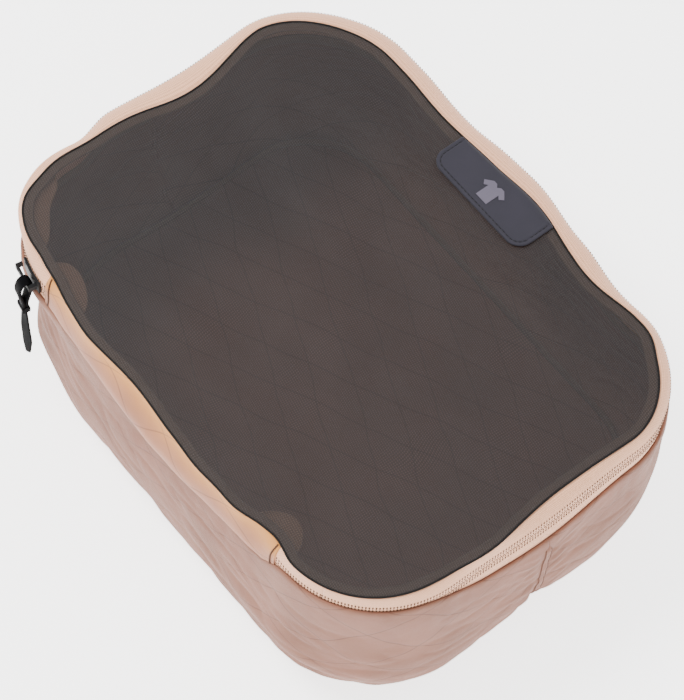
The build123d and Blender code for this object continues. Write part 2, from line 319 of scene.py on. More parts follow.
# ---------------------------------------------------------------- materials
class Nodes:
    """Short hand for building a material's node tree."""

    def __init__(self, name):
        self.mat = bpy.data.materials.new(name)
        self.mat.use_nodes = True
        self.tree = self.mat.node_tree
        self.bsdf = self.tree.nodes["Principled BSDF"]

    def add(self, kind, **settings):
        """A shader node with its properties or input values set."""
        node = self.tree.nodes.new("ShaderNode" + kind)
        for key, value in settings.items():
            if hasattr(node, key):
                setattr(node, key, value)
            else:
                node.inputs[key.replace("_", " ")].default_value = value
        return node

    def link(self, a, b):
        """Joins an output to an input."""
        self.tree.links.new(a, b)

    def math(self, op, a, b=0.0, c=0.0):
        """The result of an operation on sockets or plain numbers."""
        node = self.add("Math", operation=op)
        for i, v in enumerate((a, b, c)):
            if hasattr(v, "is_linked"):
                self.link(v, node.inputs[i])
            else:
                node.inputs[i].default_value = v
        return node.outputs[0]

    def mix(self, factor, a, b):
        """A colour between a and b."""
        node = self.add("Mix", data_type="RGBA")
        for key, v in (("Factor", factor), ("A", a), ("B", b)):
            socket = next(x for x in node.inputs if x.name == key and x.enabled)
            if hasattr(v, "is_linked"):
                self.link(v, socket)
            else:
                socket.default_value = v
        return next(x for x in node.outputs if x.enabled)

    def coords(self, use_uv=True):
        """Places on the cloth, or in the object where there are no UVs, as three sockets in millimetres."""
        if use_uv:
            self.vector, scale = self.add("UVMap").outputs[0], 1.0
        else:
            self.vector, scale = self.add("TexCoord").outputs["Object"], 1000.0
        xyz = self.add("SeparateXYZ")
        self.link(self.vector, xyz.inputs[0])
        return [self.math("MULTIPLY", xyz.outputs[i], scale) for i in range(3)]

    def noise(self, vector, scale, detail=2.0, rough=0.5):
        """Soft noise from 0 to 1."""
        node = self.add("TexNoise", Scale=scale, Detail=detail, Roughness=rough)
        self.link(vector, node.inputs["Vector"])
        return node.outputs["Fac"]

    def wave(self, value, pitch):
        """A sine of a length in millimetres, from 0 to 1."""
        angle = self.math("MULTIPLY", value, 2 * math.pi / pitch)
        return self.math("MULTIPLY_ADD", self.math("SINE", angle), 0.5, 0.5)

    def line(self, value, pitch, width):
        """1 on thin lines that repeat at a pitch, else 0, with soft edges."""
        turn = self.math("FRACT", self.math("DIVIDE", value, pitch))
        away = self.math("ABSOLUTE", self.math("SUBTRACT", turn, 0.5))
        soft = self.math("SUBTRACT", 1.0, self.math("DIVIDE", away, width / pitch))
        return self.math("MAXIMUM", soft, 0.0)

    def step(self, value, low, high):
        """A smooth step from 0 at low to 1 at high."""
        node = self.add("MapRange", interpolation_type="SMOOTHSTEP")
        self.link(value, node.inputs["Value"])
        node.inputs["From Min"].default_value, node.inputs["From Max"].default_value = low, high
        return node.outputs[0]

    def bump(self, height, strength, distance):
        """Fine relief on the surface."""
        node = self.add("Bump", Strength=strength, Distance=distance)
        self.link(height, node.inputs["Height"])
        self.link(node.outputs[0], self.bsdf.inputs["Normal"])

    def set(self, **values):
        """Plain values of the surface's inputs."""
        for key, value in values.items():
            self.bsdf.inputs[key.replace("_", " ")].default_value = value


def rgb(r, g, b):
    """Linear colour from 0-255 display values."""
    def linear(c):
        return c / 255 / 12.92 if c < 10.3 else ((c / 255 + 0.055) / 1.055) ** 2.4

    return linear(r), linear(g), linear(b), 1.0


def darker(colour, share):
    """A share of a colour's light."""
    return tuple(c * share for c in colour[:3]) + (1.0,)


GRID_PITCH, GRID_LINE, WEAVE_PITCH = 23.0, 0.55, 0.62


def ripstop(name, light, dark, warm_tone_and_painted_light, length, edge, painted_top_light, low):
    """Thin plain-weave cloth with a diamond grid of heavier threads and soft colour drift.

    Of its length it is warmer in a band of edge millimetres at its top, by the given share, and a little
    below low: this warmth is painted light and shade at its top seam and its foot."""
    n = Nodes(name)
    u, v, _ = n.coords()
    drift = n.noise(n.vector, 0.022, 3.0)
    wobble = n.math("MULTIPLY", n.math("SUBTRACT", n.noise(n.vector, 0.02, 1.0), 0.5), 9.0)
    up = n.math("ADD", n.math("MULTIPLY", u, 0.42), wobble)
    one = n.line(n.math("ADD", n.math("MULTIPLY", v, 0.9), up), GRID_PITCH, GRID_LINE)
    two = n.line(n.math("SUBTRACT", n.math("MULTIPLY", v, 0.9), up), GRID_PITCH, GRID_LINE)
    lines = n.math("MAXIMUM", one, two)
    weave = n.math("MULTIPLY", n.wave(u, WEAVE_PITCH), n.wave(v, WEAVE_PITCH))
    fine = n.noise(n.vector, 1.6, 4.0, 0.7)
    colour = n.mix(n.math("MULTIPLY_ADD", drift, 1.6, -0.3), dark, light)
    # painted light and shade: a warmer tone along the top seam and towards the foot
    top, foot = n.step(v, length - edge, length - 1), n.step(v, low, 0.0)
    spread = n.math("MULTIPLY", n.noise(n.vector, 0.05, 2.0), 0.35)
    painted_light_share = n.math("ADD", n.math("MULTIPLY", top, painted_top_light), n.math("MULTIPLY", foot, 0.3))
    colour = n.mix(n.math("MINIMUM", n.math("ADD", spread, painted_light_share), 1.0), colour, warm_tone_and_painted_light)
    colour = n.mix(n.math("MULTIPLY", lines, 0.5), colour, darker(dark, 0.36))
    colour = n.mix(n.math("MULTIPLY", weave, 0.10), colour, darker(dark, 0.7))
    n.link(colour, n.bsdf.inputs["Base Color"])
    n.link(n.math("MULTIPLY_ADD", fine, 0.25, 0.55), n.bsdf.inputs["Roughness"])
    height = n.math("ADD", n.math("MULTIPLY", weave, 0.5), n.math("MULTIPLY", lines, -0.7))
    height = n.math("ADD", height, n.math("MULTIPLY", n.noise(n.vector, 0.16, 3.0), 2.2))
    n.bump(height, 0.4, 0.0006)
    n.set(Sheen_Weight=0.09, Sheen_Roughness=0.45, Specular_IOR_Level=0.2)
    return n.mat


LOOP_PITCH, ROW_PITCH = 1.1, 0.8


def knit_tape(name, base, dark):
    """Zip tape: a warp-knit ribbon with rows of tiny loops."""
    n = Nodes(name)
    u, v, _ = n.coords()
    row = n.math("FLOOR", n.math("DIVIDE", v, ROW_PITCH))
    shift = n.math("ADD", u, n.math("MULTIPLY", row, LOOP_PITCH / 2))
    loops = n.math("MULTIPLY", n.wave(shift, LOOP_PITCH), n.wave(v, ROW_PITCH))
    speck = n.noise(n.vector, 1.3, 3.0, 0.7)
    mottled = n.math("MULTIPLY", n.math("ADD", loops, speck), 0.5)
    colour = n.mix(n.math("MULTIPLY_ADD", mottled, 2.4, -0.25), dark, base)
    n.link(colour, n.bsdf.inputs["Base Color"])
    n.bump(n.math("ADD", loops, n.math("MULTIPLY", speck, 0.6)), 0.5, 0.00035)
    n.set(Roughness=0.78, Sheen_Weight=0.2, Specular_IOR_Level=0.25)
    return n.mat


RIB_PITCH, CROSS_PITCH = 1.35, 1.25


def rib_mesh(name, thread, shade):
    """See-through mesh: ribs along the long side, crossed by weaker threads, and clearer between them."""
    n = Nodes(name)
    u, v, _ = n.coords()
    bend = n.math("MULTIPLY", n.math("SUBTRACT", n.noise(n.vector, 0.015, 1.0), 0.5), 26.0)
    skew = n.math("ADD", v, n.math("MULTIPLY", u, 0.2))
    across = n.math("ADD", skew, n.math("MULTIPLY", bend, 0.3))
    rib = n.wave(across, RIB_PITCH)
    cross = n.wave(n.math("ADD", u, bend), CROSS_PITCH)
    cover = n.math("MAXIMUM", rib, n.math("MULTIPLY", cross, 0.9))
    patch = n.noise(n.vector, 0.02, 2.0)
    level = n.math("MULTIPLY_ADD", patch, 0.14, 0.06)
    alpha = n.math("MULTIPLY_ADD", n.math("POWER", cover, 1.4), 0.24, 0.53)
    alpha = n.math("ADD", alpha, n.math("MULTIPLY", level, 0.35))
    n.link(n.math("MINIMUM", alpha, 0.95), n.bsdf.inputs["Alpha"])
    n.link(n.mix(rib, shade, thread), n.bsdf.inputs["Base Color"])
    n.bump(cover, 0.4, 0.0003)
    n.set(Roughness=0.6, Sheen_Weight=0.25, Sheen_Roughness=0.4, Specular_IOR_Level=0.35)
    return n.mat


def woven(name, base, dark, pitch, rough=0.75, strength=0.5, uv=True, sheen=0.08, shine=0.22):
    """A dense woven or braided finish for bindings, patches and cords."""
    n = Nodes(name)
    u, v, w = n.coords(uv)
    twill = n.wave(n.math("ADD", u, v), pitch)
    cross = n.wave(n.math("SUBTRACT", u, n.math("ADD", v, w)), pitch * 1.3)
    thread = n.math("MULTIPLY", n.math("ADD", twill, cross), 0.5)
    scale = 0.05 if uv else 50.0
    drift = n.math("MULTIPLY", n.noise(n.vector, scale, 3.0), 0.4)
    tone = n.math("ADD", n.math("MULTIPLY", thread, 0.5), drift)
    n.link(n.mix(tone, dark, base), n.bsdf.inputs["Base Color"])
    n.bump(thread, strength, 0.00025)
    n.set(Roughness=rough, Sheen_Weight=sheen, Specular_IOR_Level=shine)
    return n.mat


def coated_metal(name):
    """Black semi-gloss coating with faint grain and soft patches of wear."""
    n = Nodes(name)
    n.coords(False)
    grain = n.noise(n.vector, 2600.0, 4.0, 0.7)
    patch = n.noise(n.vector, 240.0, 3.0)
    n.link(n.mix(n.math("MULTIPLY", patch, 0.5), rgb(4, 4, 5), rgb(12, 12, 13)), n.bsdf.inputs["Base Color"])
    n.link(n.math("MULTIPLY_ADD", patch, 0.25, 0.36), n.bsdf.inputs["Roughness"])
    n.bump(grain, 0.12, 0.0001)
    n.set(Specular_IOR_Level=0.16)
    return n.mat


def moulded(name, base, dark):
    """Nylon monofilament of the coil."""
    n = Nodes(name)
    n.coords(False)
    speck = n.noise(n.vector, 900.0, 2.0)
    n.link(n.mix(speck, dark, base), n.bsdf.inputs["Base Color"])
    n.bump(speck, 0.1, 0.0001)
    n.set(Roughness=0.42, Specular_IOR_Level=0.45)
    return n.mat


# each ripstop's fourth colour is its warm tone, used both for a soft random tint and for the painted light
# and shade at its top seam and foot
CLOTH = ripstop("ripstop", rgb(143, 98, 81), rgb(112, 74, 58), rgb(138, 96, 77), WALL_LENGTH, 6, 0.15, 60)
STRIP_CLOTH = ripstop(
    "strip_cloth", rgb(164, 117, 102), rgb(146, 100, 83), rgb(196, 132, 66), STRIP_LENGTH, 17, 0.85, 8)
TAPE = knit_tape("zip_tape", rgb(240, 184, 148), rgb(190, 132, 98))
# painted shade: a darker copy of the zip tape, for its tails, which lie in shade under the mesh
SHADED_TAIL_TAPE = knit_tape("shaded_tape_tail", rgb(178, 134, 106), rgb(96, 66, 50))
COIL = moulded("coil", rgb(176, 132, 106), rgb(140, 102, 80))
MESH = rib_mesh("rib_mesh", rgb(34, 30, 31), rgb(18, 16, 17))
# painted shade: near-black colour for the cord that stands for the shadow in the crease of the rim's seam
RIM_SHADE_CORD = woven("rim_shade_cord", rgb(20, 12, 9), rgb(8, 5, 4), 0.9, sheen=0.0)
BINDING = woven("binding", rgb(150, 118, 98), rgb(98, 74, 60), 1.1)
THREAD = woven("zip_thread", rgb(84, 50, 31), rgb(56, 33, 19), 0.3, uv=False, sheen=0.0)
BROWN = woven("brown_thread", rgb(88, 55, 36), rgb(60, 36, 22), 0.3, uv=False, sheen=0.0)
LABEL = woven("label_cloth", rgb(50, 47, 58), rgb(27, 26, 33), 0.55, 0.7)
LABEL_THREAD = woven("label_thread", rgb(12, 11, 14), rgb(6, 6, 8), 0.3, uv=False)
MARK = woven("label_mark", rgb(104, 98, 112), rgb(78, 74, 86), 0.4, uv=False)
METAL = coated_metal("coated_metal")
CORD = woven(
    "cord_cover", rgb(12, 11, 14), rgb(4, 4, 5), 0.55, 0.62, 0.6, uv=False, sheen=0.0, shine=0.03)


def finish_piece(obj, material, body, slot, *nodes):
    """Material, body and the CAD nodes that a piece stands for; slot is not used."""
    obj.data.materials.clear()
    obj.data.materials.append(material)
    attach(obj, body)
    if nodes:
        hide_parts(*nodes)


def join(piece, material, nodes=()):
    """A piece that is sewn to the tray at one end and to the lid at the other."""
    piece.data.materials.append(material)
    if nodes:
        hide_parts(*nodes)


# ---------------------------------------------------------------- tray cloth
def tuck(s):
    """How far the foot of the wall falls in."""
    return bumps(np.mod(s, PERIMETER), TUCKS)


def seam_lift(s):
    """How far the wall's top seam rides up over the lower tape at the hinged corners."""
    s = np.mod(s, PERIMETER)
    return 16.0 * ramp(s, 84, 116) * (1 - ramp(s, 192, 240)) + 4.0 * bump(s, 1000, 30)


def wall_wrinkles(s, length, seed):
    """Height of the wall's folds: swells, long creases, puckers below the zip, rays from the end seams."""
    hold = ramp(length, 2, 26) * (1 - ramp(length, WALL_LENGTH - 30, WALL_LENGTH - 6))
    swell = 1.7 * noise2(s / 74, length / 60, seed)
    swell = swell + 0.5 * noise2(s / 33 + length / 60, length / 36, seed + 1)
    fold = noise2(s / 62 - length / 34, (length + 0.32 * s) / 15, seed + 2)
    crease = 0.8 * (1 - np.abs(fold)) ** 4
    corner = bump(s, 110, 120) + bump(s, 1000 - PERIMETER, 70)
    long_fold = 1.2 * corner * np.sin((length + 0.10 * s) / 4.2 + 1.6 * noise2(s / 50, length / 40, seed + 6))
    long_fold = long_fold * ramp(length, 6, 20) * (1 - ramp(length, 52, 78))
    pucker = noise2(s / 8.5, length / 90, seed + 3)
    near_top = ramp(length, WALL_LENGTH - 44, WALL_LENGTH - 12)
    near_top = near_top * (1 - ramp(length, WALL_LENGTH - 8, WALL_LENGTH - 4))
    near_low = ramp(length, 0, 8) * (1 - ramp(length, 16, 40))
    rise = hold * (swell - crease + long_fold) + 0.5 * pucker * near_top
    rise = rise + 0.6 * noise2(s / 12, length / 60, seed + 4) * near_low
    for mid in (S_RIGHT, S_LEFT, S_LEFT - PERIMETER):
        away = np.abs(s - mid)
        ray = noise2(length / 7.0 - away / 22, away / 60 + seed, seed + 5)
        reach = np.exp(-away / 20) * ramp(away, 3.5, 9) * ramp(length, 8, 24)
        reach = reach * (1 - ramp(length, WALL_LENGTH - 16, WALL_LENGTH - 4))
        rise = rise + 2.0 * ray * reach - 1.5 * np.exp(-((away / 7) ** 2)) * hold
        rise = rise - 3.0 * np.exp(-((away / 12) ** 2)) * bump(length, 26, 16)
    return rise


def wall_grid(s, seed):
    """Points of the wall: its profile, moved with the zip, tucked at the corners, then wrinkled."""
    ss = np.repeat(np.asarray(s, float)[:, None], len(WALL), 1)
    off, z = np.repeat(WALL[None, :, 0], len(s), 0), np.repeat(WALL[None, :, 1], len(s), 0)
    slope = np.gradient(WALL, axis=0)
    slope /= np.linalg.norm(slope, axis=1)[:, None]
    rise = wall_wrinkles(ss, WALL_UP[None], seed)
    off = off + zip_out(ss) * ramp(z, 25, 96) + lean(ss) * ramp(z, 60, 96)
    off = off - tuck(ss) * (1 - ramp(z, 70, 99)) + rise * slope[:, 1]
    top = seam_lift(ss) * ramp(z, 62, 97)
    return place(ss, off + 0.03 * top, z + top - rise * slope[:, 0] * ramp(z, 1, 9))


step = 1.3
for name, a, b, seed in (("front", S_LEFT - PERIMETER, S_RIGHT, 3), ("back", S_RIGHT, S_LEFT, 11)):
    s = span(a, b, step)
    wall = cloth("wall_" + name, wall_grid(s, seed), s, WALL_UP, THIN)
    finish_piece(wall, CLOTH, "tray", "ripstop", "gusset_" + name)


def disc(name, edge, heights, rings):
    """A sheet that fills a closed edge: rings shrink towards the middle. heights(x, y, t) gives z."""
    n = len(edge)
    t = 1 - np.linspace(0, 1, rings, endpoint=False) ** 1.15
    x = edge[:, 0][None] * t[:, None]
    y = edge[:, 1][None] * t[:, None]
    z = heights(x, y, t[:, None] + 0 * x)
    points = np.stack([x, y, z], -1).reshape(-1, 3)
    middle = heights(np.zeros(1), np.zeros(1), np.zeros(1))[0]
    points = np.concatenate([points, [[0, 0, middle]]])
    faces = [f[::-1] for f in grid_faces(rings, n, False, True)]
    first = (rings - 1) * n
    faces += [[first + i, first + (i + 1) % n, len(points) - 1] for i in range(n)]
    return make_mesh(name, points, faces, points[:, :2])


ring_s = np.linspace(0, PERIMETER, 460, endpoint=False)  # places along every closed ring
FLOOR_OFF, ROLL_OFF, ROLL_Z, ROLL_RADIUS = -12.4, -12.0, 1.25, 1.1


def floor_height(x, y, t):
    """The tray's bottom lies flat, with slight soft creases inside its seam."""
    soft = ramp(1 - t, 0.02, 0.2)
    creases = 0.35 * np.abs(noise2(x / 45, y / 45, 5)) + 0.2 * np.abs(noise2(x / 14, y / 30, 6))
    return 0.75 + soft * creases


floor_edge = place(ring_s, FLOOR_OFF - tuck(ring_s), 0 * ring_s)[:, :2]
bottom = disc("bottom_cloth", floor_edge, floor_height, 40)
thick = bottom.modifiers.new("thickness", "SOLIDIFY")
thick.thickness, thick.offset = THIN * MM, -1
finish_piece(bottom, CLOTH, "tray", "ripstop", "bottom_panel")

# seam roll where the wall meets the bottom
roll_path = place(ring_s, ROLL_OFF - tuck(ring_s), ROLL_Z + 0 * ring_s)
roll = tube("bottom_seam_roll", roll_path, ROLL_RADIUS, 8, closed=True)
finish_piece(roll, CLOTH, "tray", "ripstop")

# the flap of each end seam, up the rows of the wall that it covers, with two rows of thread
FLAP_HALF, FLAP_ROWS = 2.6, slice(9, 85)
for name, mid, seed in (("end_seam_right", S_RIGHT, 3), ("end_seam_left", S_LEFT, 11)):
    s = np.linspace(mid - FLAP_HALF, mid + FLAP_HALF, 19)
    up = WALL_UP[FLAP_ROWS]
    flap = 0.9 + 0.35 * noise2(s[:, None] / 4, up[None] / 9, 8) + 0.4 * bump(s[:, None], mid + 0.5, 1.9)
    flap = flap - 1.1 * ramp(np.abs(s - mid), 1.6, FLAP_HALF)[:, None]
    flap = flap - 2.2 * ramp(up[None], WALL_LENGTH - 14, WALL_LENGTH - 8)
    base = wall_grid(s, seed)[:, FLAP_ROWS]
    normal = np.cross(np.gradient(base, axis=0), np.gradient(base, axis=1))
    normal /= np.linalg.norm(normal, axis=2)[..., None]
    flap_grid = base + normal * flap[..., None]
    strip = cloth(name + "_cloth", flap_grid, s, up, DOUBLE)
    finish_piece(strip, CLOTH, "tray", "ripstop", name)
    row = np.interp(np.arange(up[0] + 2, WALL_LENGTH - 12.5, 2.2), up, range(len(up)))
    for k, column in enumerate((2, 15)):
        at, out = between(flap_grid[column], row), between(normal[column], row)
        seam = stitches(f"{name}_thread_{k}", at + 0.1 * out, np.gradient(at, axis=0), out, 1.8, 0.6, 0.3)
        finish_piece(seam, BROWN if k == 0 else THREAD, "tray", "ripstop")


# ---------------------------------------------------------------- zip
# the upper tape as (share of the way from zip to rim, height), and the lower tape as (offset, height)
BAND = smooth_curve(
    [(0.0, 114.2), (0.0, 118.0), (0.12, 121.4), (0.38, 124.6), (0.70, 126.9), (1.0, 128.1)], 14)
LOW = smooth_curve([(-1.0, 96.0), (-0.6, 100.0), (-0.1, 104.0), (0.0, 108.0), (0.0, 113.8)], 12)


def band_point(s, z):
    """A point of the zip's band from arc length and height, below or above the zip."""
    share = np.interp(z, BAND[:, 1], BAND[:, 0])
    low = np.interp(z, LOW[:, 1], LOW[:, 0])
    soft = 0.35 * noise2(s / 38, z / 20, 21) * ramp(z, ZIP_Z + 3, RIM_Z - 2)
    belly = 4.2 * bump(np.mod(s, PERIMETER), 934, 54) * bump(z, 123.4, 4.6) + lean(s) * (1 - ramp(z, 99, 113))
    off = (1 - share) * zip_out(s) + share * rim_off(s) + low + soft + belly
    return place(s, off, z + (rim_z(s) - RIM_Z) * ramp(z, ZIP_Z, RIM_Z))


def band(name, a, b, heights, step=2.0):
    """A tape of the zip between two arc lengths."""
    s = span(a, b, step)
    z = np.asarray(heights)
    grid = band_point(np.repeat(s[:, None], len(z), 1), np.repeat(z[None], len(s), 0))
    return cloth(name, grid, s, np.linspace(0, 14, len(z)), THIN)


def seam_binding(name, node, low, high, off):
    """A binding tape that stands inside the tray against a seam, with off(s) as its offset."""
    up = np.linspace(low, high, 7)
    s, z = np.meshgrid(ring_s, up, indexing="ij")
    soft = 0.35 * noise2(s / 21, z / 6, 71) - 0.5 * bump(z, (low + high) / 2, (high - low) / 2)
    grid = place(s, off(s) + soft, z)
    tape = cloth(name, grid, ring_s, np.linspace(0, high - low, len(up)), DOUBLE, True)
    finish_piece(tape, BINDING, "tray", "binding", node)


seam_binding("foot_binding", "bottom_seam_binding", 1.4, 8.6, lambda s: -14.2 - tuck(s))
seam_binding("top_binding", "zip_seam_binding", 91.0, 99.2, lambda s: -2.2 + zip_out(s) + lean(s))


S0, S1 = HINGE_RIGHT, PERIMETER + HINGE_LEFT
LID_FROM, LID_TO = S0 + 36.0, S1 - 42.0  # between these the upper tape is the lid's, and beyond them it folds
FOLD = (-0.1313, 0.1279)  # y and z of the lid's hinge, in metres
finish_piece(band("lower_tape", S0 - 1, S1 + 1, LOW[:, 1]), TAPE, "tray", "zip_tape", "lower_zip_tape")
finish_piece(band("upper_tape", LID_FROM, LID_TO, BAND[:, 1]), TAPE, "lid", "zip_tape", "upper_zip_tape")


def fold_from(x, z, across, rise):
    """Start and end, in metres, of a fold that begins at a corner.

    Its far side lies across millimetres further along x, or rise millimetres higher."""
    slope = np.array([1 / across, 0, 1 / rise])
    start = np.array([x, FOLD[0] / MM, z])
    return [tuple(float(c) * MM for c in p) for p in (start, start + slope / (slope @ slope))]


ENDS = (("left", LID_TO, S1, fold_from(-112, 117.0, -33.5, 10.6)),
        ("right", S0, LID_FROM, fold_from(101, 114.5, 39.0, 13.1)))
ends = []
for side, a, b, fold in ENDS:
    piece = band(f"upper_tape_{side}_end", a, b, BAND[:, 1], 1.2)
    join(piece, TAPE, ("upper_tape_end",) if side == "left" else ())
    ends.append((piece, fold))


COIL_PITCH, COIL_POINTS = 1.55, 10  # length of a turn along the zip, and points to a turn
COIL_APART, COIL_OFF = 1.55, -1.62  # a coil's middle, from the zip's middle line and in from the outline
COIL_ACROSS, COIL_TALL, COIL_WIRE = 0.62, 1.3, 0.3


def coil(name, z, s0, s1):
    """A nylon coil sewn inside a tape: a flattened helix."""
    n = int((s1 - s0) / COIL_PITCH * COIL_POINTS)
    t = np.arange(n + 1) * 2 * math.pi / COIL_POINTS
    s = s0 + (s1 - s0) * np.arange(n + 1) / n
    path = place(s, COIL_OFF + COIL_ACROSS * np.cos(t) + zip_out(s), z + COIL_TALL * np.sin(t))
    return tube(name, path, COIL_WIRE, 5)


finish_piece(coil("coil_lower", ZIP_Z - COIL_APART, S0, S1), COIL, "tray", "coil", "lower_coil")
finish_piece(coil("coil_upper", ZIP_Z + COIL_APART, LID_FROM, LID_TO), COIL, "lid", "coil", "upper_coil")
for side, a, b, fold in ENDS:
    piece = coil(f"coil_{side}_end", ZIP_Z + COIL_APART, a, b)
    join(piece, COIL, ("upper_coil_end",) if side == "left" else ())
    ends.append((piece, fold))


THREAD_PITCH, THREAD_WIDTH, THREAD_HEIGHT = 1.9, 0.95, 0.3


def tape_stitches(name, z, s0, s1, length):
    """A row of upright thread marks on the outer face of a tape."""
    s = span(s0, s1, THREAD_PITCH)
    out, upright = outward(s), np.tile(UP, (len(s), 1))
    at = band_point(s, z + 0 * s) + out * 0.08
    return stitches(name, at, upright, out, length, THREAD_WIDTH, THREAD_HEIGHT)


# rows of thread: height, length of a mark, and whether it is on the lid's half of the zip
ROWS = ((108.9, 2.2, False), (111.4, 1.3, False), (116.7, 1.3, True), (119.3, 2.2, True))
for k, (z, length, on_lid) in enumerate(ROWS):
    a, b = (LID_FROM, LID_TO) if on_lid else (S0 + 2, S1 - 2)
    row = tape_stitches(f"tape_thread_{k}", z, a, b, length)
    finish_piece(row, THREAD, "lid" if on_lid else "tray", "zip_tape")
    for side, a, b, fold in ENDS if on_lid else ():
        piece = tape_stitches(f"tape_thread_{side}_{k}", z, a + 1, b - 1, length)
        join(piece, THREAD)
        ends.append((piece, fold))

# painted shade: dark dashes along the gap where the two tapes meet
s = span(S0 + 3, S1 - 3, 2.4)
out = outward(s)
along = np.cross(np.tile(UP, (len(s), 1)), out)
slit_shade = stitches("tape_slit", band_point(s, 113.7 + 0 * s) + out * 0.12, along, out, 1.8, 0.8, 0.2)
finish_piece(slit_shade, BROWN, "tray", "zip_tape")

for piece, (start, end) in ends:
    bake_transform(piece)

# ---------------------------------------------------------------- hinge strip
def strip_point(s, z, length):
    """A point of the soft hinge strip, which is drawn flat at its sewn ends."""
    x = s - PERIMETER
    end = ramp(x, HINGE_RIGHT - 20, HINGE_RIGHT + 2) + ramp(-x, -HINGE_LEFT - 20, -HINGE_LEFT + 2)
    roll = 0.7 * noise2(x / 42, length / 13, 31) + 0.4 * noise2(x / 13, length / 24, 32) * ramp(length, 4, 12)
    keep = 0.7 * ramp(length, 0, 6) * (1 - ramp(length, 26, 33))
    belly = np.interp(z, STRIP[:, 1], STRIP[:, 0])
    up = (1 - end) * ramp(z, ZIP_Z - 6, RIM_Z) + end * np.interp(z, BAND[:, 1], BAND[:, 0])
    middle = bump(x, 0, 100)
    belly = np.where(belly > 0, belly * (1 - 0.75 * end + 1.55 * middle), belly)
    off = belly * (1 - up) + (rim_off(s) + 0.25) * up + roll * keep
    return place(s, off, z + (rim_z(s) - RIM_Z) * up - 3.4 * middle * bump(z, 104, 9))


s = span(PERIMETER + HINGE_LEFT - 2, PERIMETER + HINGE_RIGHT + 2, 1.4)
grid_s, grid_z = np.repeat(s[:, None], len(STRIP), 1), np.repeat(STRIP[None, :, 1], len(s), 0)
strip = cloth("hinge_cloth", strip_point(grid_s, grid_z, STRIP_UP[None]), s, STRIP_UP, DOUBLE)
join(strip, STRIP_CLOTH, ("hinge_strip",))
folds = [strip]

# the strip's bound ends, sewn over the ends of the zip
for side, at, bend in (("right", PERIMETER + HINGE_RIGHT, -1.4), ("left", PERIMETER + HINGE_LEFT, 2.2)):
    t = np.linspace(0, 1, 30)
    z = 101.5 + 26.1 * t
    length = np.interp(z, STRIP[:, 1], STRIP_UP)
    s = at + bend * np.sin(math.pi * t)
    seam = tube(f"strip_seam_{side}", strip_point(s, z, length) + 0.25 * outward(s), 0.5, 8)
    join(seam, BROWN)
    folds.append(seam)
for piece in folds:
    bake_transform(piece)

# tails of the zip's tapes, turned in under the mesh: where, how long and how deep
TAILS = (("right", S0 - 6.0, 34.0, 15.0), ("left", S1 + 9.0, 40.0, 14.0), ("corner", 955.0, 62.0, 14.0))
for side, at, chord, deep in TAILS:
    s = np.linspace(at - chord / 2, at + chord / 2, 46)
    t = np.linspace(0, 1, 14)
    reach = deep * np.sqrt(np.clip(1 - ((s - at) / (chord / 2)) ** 2, 0.02, 1))
    inward = rim_off(s)[:, None] - 1.6 - reach[:, None] * t[None]
    ridge = 0.18 * np.sin(s * 2 * math.pi / 2.2)[:, None] * ramp(t, 0.3, 0.6)[None]
    z = 125.6 - 1.2 * np.sin(math.pi * t)[None] + ridge + 0.3 * noise2(s[:, None] / 9, t[None] * 2, 61)
    grid = place(np.repeat(s[:, None], len(t), 1), inward, z)
    tail = cloth(f"shaded_tape_tail_{side}", grid[:, ::-1], s, deep * t, THIN)
    # the tails take the painted-shade copy of the zip tape
    finish_piece(tail, SHADED_TAIL_TAPE, "tray", "zip_tape")

# ---------------------------------------------------------------- lid
LABEL_X, LABEL_L, LABEL_W, LABEL_R = 1.0, 79.0, 26.0, 10.0
LABEL_TOP = 130.2
LABEL_Y = WIDTH / 2 - RIM_LABEL - 1 - LABEL_W / 2


def rim_points(inset, lift):
    """The rim's line, moved in from it and up."""
    return place(ring_s, rim_off(ring_s) - inset, rim_z(ring_s) + lift)


RIM = rim_points(0.3, 0.2)
bearing = np.arctan2(RIM[:, 1], RIM[:, 0])
order = np.argsort(bearing)
RIM_BEARING, RIM_HEIGHT = bearing[order], RIM[order, 2]


def lid_height(x, y, t):
    """The mesh hangs nearly flat from its rim, a little slack, and lies flat under the label."""
    edge = np.interp(np.arctan2(y, x), RIM_BEARING, RIM_HEIGHT)
    label = bump(np.clip(np.hypot((x - LABEL_X) / 50, (y - LABEL_Y) / 26), 0, 1), 0, 1)
    free = ramp(1 - t, 0.02, 0.28) * (1 - label)
    wave = 1.1 * noise2(x / 62 + 3, y / 50, 41) + 0.5 * noise2(x / 26, y / 30 + 7, 42)
    drag = 0.35 * noise2(x / 70 + y / 50, (y - 0.35 * x) / 13, 43)
    sag = 2.2 * ramp(1 - t, 0, 0.7) * (1 - label)
    return edge * t + (1 - t) * (RIM_Z + 0.2) - sag + free * (wave + drag)


mesh = disc("mesh_sheet", RIM[:, :2], lid_height, 70)
finish_piece(mesh, MESH, "lid", "mesh", "mesh_panel")

# painted shade: a thin dark cord round the rim stands in for the shadow in the crease of the rim's seam
edge = tube("rim_shade_cord", rim_points(0.0, 0.1), (0.65, 0.6), 8, closed=True)
finish_piece(edge, RIM_SHADE_CORD, "lid", "binding")

BIND = [(-0.6, -0.35), (-1.6, -0.2), (-2.8, -0.3), (-3.9, -0.25), (-4.5, -0.6), (-5.1, -0.1),
        (-5.7, -0.15), (-6.1, -0.8), (-5.6, -1.4), (-3.0, -1.5), (-0.6, -1.4)]


